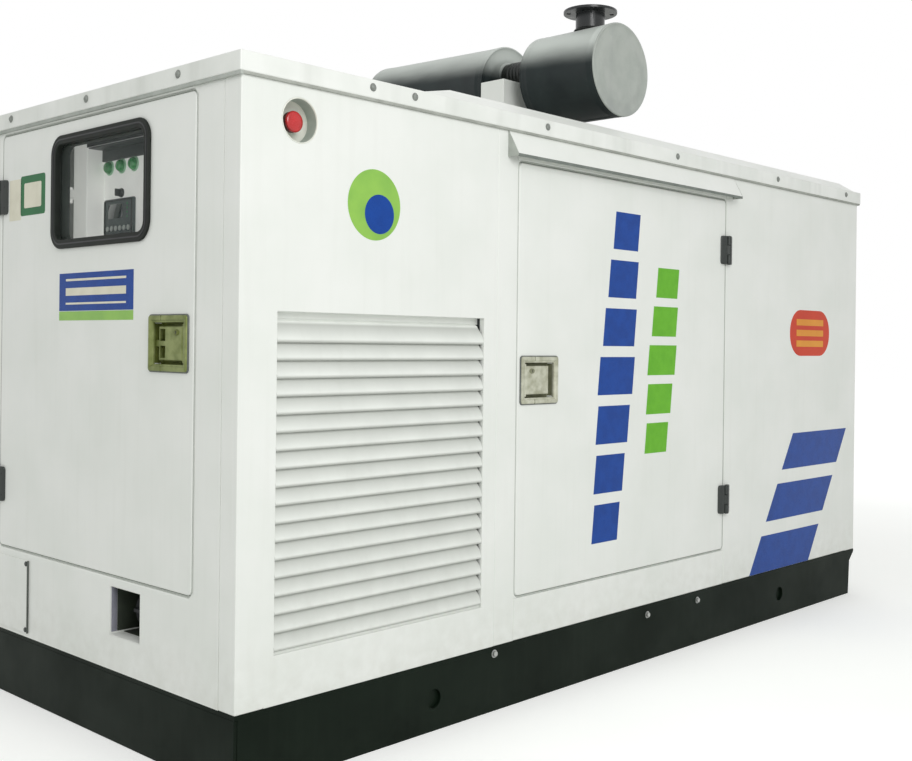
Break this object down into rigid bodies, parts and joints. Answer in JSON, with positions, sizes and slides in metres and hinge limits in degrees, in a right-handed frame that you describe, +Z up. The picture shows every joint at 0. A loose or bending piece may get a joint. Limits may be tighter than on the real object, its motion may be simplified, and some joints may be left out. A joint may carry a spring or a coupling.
{
  "type": "enclosed diesel generator set",
  "caption": "Diesel generator set in a white sound-proof steel enclosure on a black base frame, with hinged service doors, air louvres, a control window and roof silencers",
  "frame": {"origin": "centre of the enclosure's footprint on the ground, on the underside of the middle cross member", "axes": "+X along the enclosure from the control end to the radiator end, -Y out of the main service side, +Z up"},
  "size_m": [3.737, 1.662, 2.513],
  "materials": {
    "white_enamel": "satin",
    "base_black": "satin",
    "hinge_dark": "satin",
    "latch_zinc": "satin",
    "black_rubber": "matte",
    "window_glass": "gloss",
    "grey_plastic": "satin",
    "red_plastic": "gloss",
    "black_plastic": "matte",
    "control_plastic": "satin",
    "machine_dark": "satin",
    "engine_paint": "satin",
    "exhaust_black": "matte",
    "silencer_grey": "matte"
  },
  "bodies": {
    "root": {"base_rails": "base_black", "base_cross_members": "base_black", "deck_plate": "base_black", "fuel_tank": "base_black", "corner_posts": "white_enamel", "front_louvre_wall": "white_enamel", "front_jamb": "white_enamel", "front_sill": "white_enamel", "front_header": "white_enamel", "front_wall": "white_enamel", "front_louvre": "white_enamel", "front_gutter": "white_enamel", "back_louvre_wall": "white_enamel", "back_wall": "white_enamel", "back_door": "white_enamel", "back_louvre": "white_enamel", "back_gutter": "white_enamel", "end_sill": "white_enamel", "end_walls": "white_enamel", "end_header": "white_enamel", "radiator_end_wall": "white_enamel", "discharge_louvre": "white_enamel", "roof": "white_enamel", "roof_crown": "white_enamel", "front_hinge_pins": "hinge_dark", "end_hinge_pins": "hinge_dark", "stop_cup": "grey_plastic", "fuel_inlet_box": "white_enamel", "fuel_cap": "black_plastic", "cable_cover": "white_enamel", "control_cabinet": "white_enamel", "control_fascia": "control_plastic", "cabinet_stand": "machine_dark", "engine": "engine_paint", "alternator": "engine_paint", "machine_feet": "machine_dark", "radiator": "machine_dark", "exhaust_riser": "exhaust_black", "silencer_drum": "silencer_grey", "silencer_neck": "exhaust_black", "silencer_second_drum": "silencer_grey", "silencer_saddles": "white_enamel", "exhaust_outlet": "exhaust_black"},
    "front_door": {"front_door": "white_enamel", "front_hinge_leaves": "hinge_dark", "front_latch": "latch_zinc"},
    "front_paddle": {"front_paddle": "latch_zinc"},
    "end_door": {"end_door": "white_enamel", "window_rubber": "black_rubber", "window_glass": "window_glass", "end_hinge_leaves": "hinge_dark", "end_latch": "latch_zinc"},
    "end_paddle": {"end_paddle": "latch_zinc"},
    "stop_button": {"stop_button": "red_plastic"}
  },
  "joints": [
    {"name": "front_door_hinge", "type": "hinge", "parent": "root", "child": "front_door", "pos_m": [0.609, -0.799, 1.0845], "axis": [0, 0, 1], "range_deg": [0, 115]},
    {"name": "end_door_hinge", "type": "hinge", "parent": "root", "child": "end_door", "pos_m": [-1.864, 0.581, 1.1935], "axis": [0, 0, -1], "range_deg": [0, 110]},
    {"name": "front_paddle_hinge", "type": "hinge", "parent": "front_door", "child": "front_paddle", "pos_m": [-0.673, -0.779, 1.08], "axis": [0, 0, -1], "range_deg": [0, 35], "stiffness_Nm_per_rad": 0.6, "springref_deg": -11.46},
    {"name": "end_paddle_hinge", "type": "hinge", "parent": "end_door", "child": "end_paddle", "pos_m": [-1.844, -0.522, 1.192], "axis": [0, 0, 1], "range_deg": [0, 35], "stiffness_Nm_per_rad": 0.6, "springref_deg": -11.46},
    {"name": "stop_button_slide", "type": "slide", "parent": "root", "child": "stop_button", "axis": [0, 1, 0], "range_m": [0, 0.004], "stiffness_N_per_m": 2000, "springref_m": -0.005}
  ]
}
